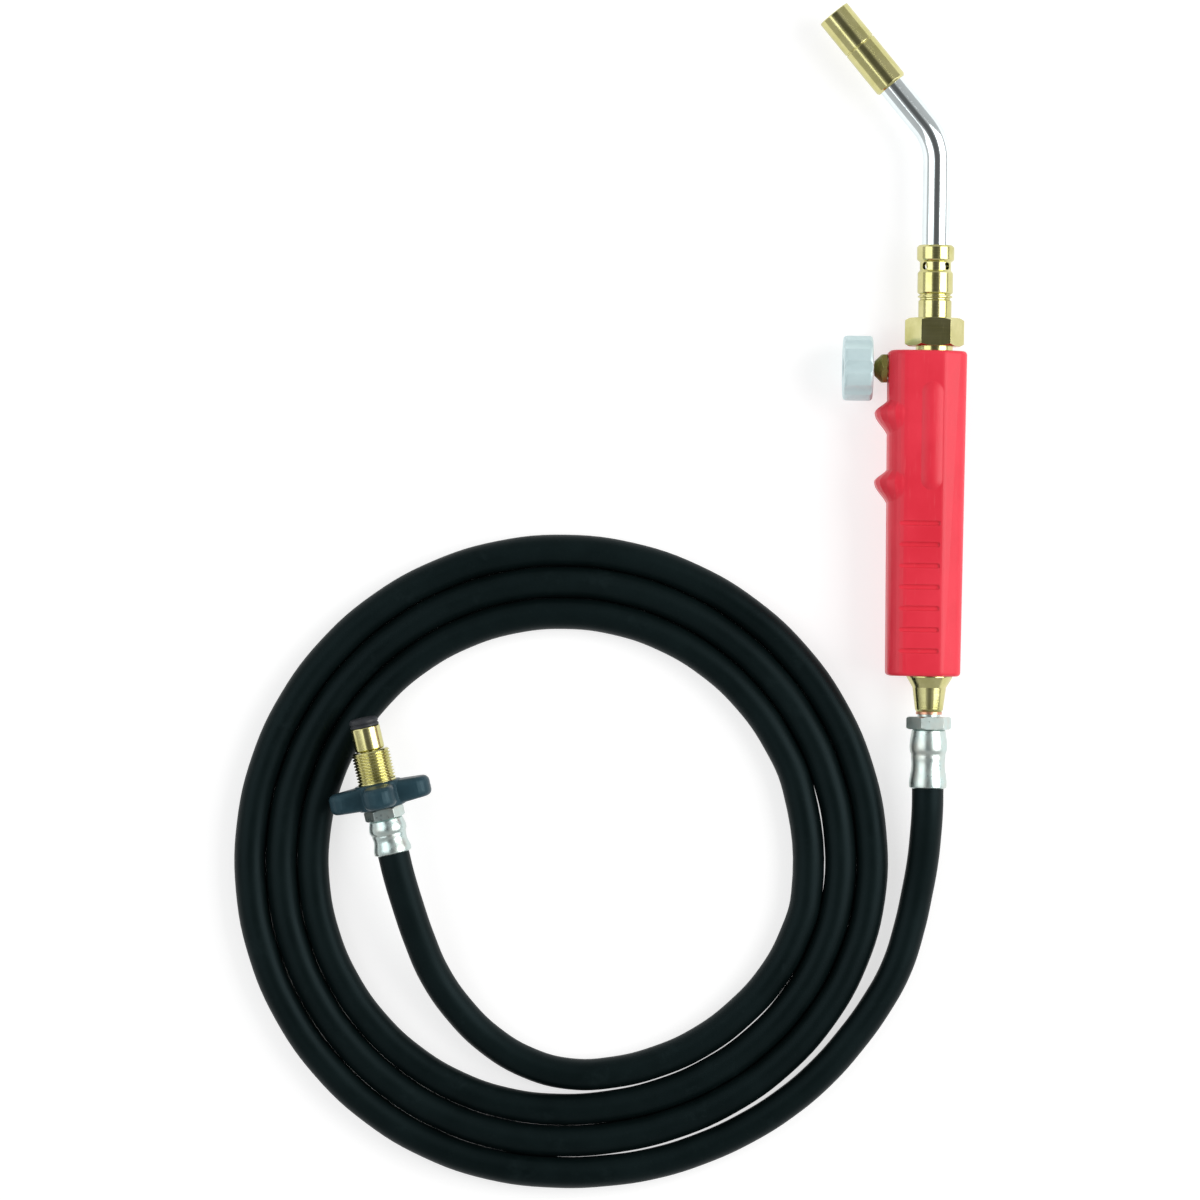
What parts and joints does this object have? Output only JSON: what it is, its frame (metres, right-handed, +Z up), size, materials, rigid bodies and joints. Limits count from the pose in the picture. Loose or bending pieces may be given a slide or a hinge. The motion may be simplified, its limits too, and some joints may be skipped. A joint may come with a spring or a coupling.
{
  "type": "propane torch",
  "caption": "Hand-held gas torch with a grip, side valve knob and bent neck with burner tube, on a coiled rubber hose that ends in a hand-wheel cylinder connector.",
  "frame": {"origin": "on the surface the torch lies on, under the gas axis at the middle of the grip's length, on the flat back face of the grip", "axes": "+Y along the gas axis from the hose towards the burner, +Z up out of the grip's front face, -X towards the valve knob and the finger hooks"},
  "size_m": [0.3116, 0.5115, 0.0444],
  "materials": {
    "red_plastic": "satin moulded plastic",
    "brass": "turned and polished",
    "chrome": "bright chrome plating",
    "zinc_plate": "clear zinc plating",
    "satin_metal": "satin",
    "plated_steel": "zinc plated",
    "copper": "annealed copper",
    "white_plastic": "smooth",
    "fibre": "pressed fibre",
    "bronze_filter": "sintered",
    "black_rubber": "matte",
    "hose_rubber": "smooth, slightly glossy",
    "black_plastic": "satin"
  },
  "bodies": {
    "handset": {"grip_shell_front": "red_plastic", "grip_shell_back": "red_plastic", "grip_screws": "plated_steel", "valve_body": "brass", "gas_tube": "brass", "tail_connector": "brass", "tail_washer": "copper", "hose_stem": "zinc_plate", "hose_ferrule": "zinc_plate", "gland_nut": "brass", "gland_washer": "white_plastic", "union_seal": "fibre", "hose_lead": "hose_rubber", "hose_coil": "hose_rubber", "hose_end": "hose_rubber", "connector_stem": "zinc_plate", "connector_ferrule": "zinc_plate", "connector_nipple": "brass", "nose_seal": "black_rubber"},
    "seal_carrier": {"spindle_seal": "black_rubber"},
    "valve_knob": {"spindle": "brass", "knob": "satin_metal", "knob_screw": "plated_steel"},
    "union": {"union_nut": "brass"},
    "burner": {"mixer_sleeve": "brass", "gas_jet": "brass", "jet_filter": "bronze_filter", "neck_tube": "chrome", "burner_tube": "brass", "flame_holder": "brass"},
    "cylinder_wheel": {"connector_nut": "brass", "handwheel": "black_plastic", "wheel_ring": "plated_steel"}
  },
  "joints": [
    {"name": "valve_lift", "type": "slide", "parent": "handset", "child": "seal_carrier", "axis": [-1, 0, 0], "range_m": [0, 0.0015]},
    {"name": "valve_turn", "type": "hinge", "parent": "seal_carrier", "child": "valve_knob", "pos_m": [0, 0.062, 0.015], "axis": [-1, 0, 0], "range_deg": [0, 540]},
    {"name": "union_turn", "type": "hinge", "parent": "handset", "child": "union", "pos_m": [0, 0.0778, 0.015], "axis": [0, 1, 0], "range_deg": [0, 90]},
    {"name": "neck_swivel", "type": "hinge", "parent": "handset", "child": "burner", "pos_m": [0, 0.0778, 0.015], "axis": [0, 1, 0], "continuous": true},
    {"name": "wheel_spin", "type": "hinge", "parent": "handset", "child": "cylinder_wheel", "pos_m": [-0.23477, -0.12404, 0.02234], "axis": [-0.2331, 0.971, 0.0523], "continuous": true}
  ],
  "couplings": [
    {"joint": "valve_turn", "follows": "valve_lift", "rad_per_m": 6283.2}
  ]
}
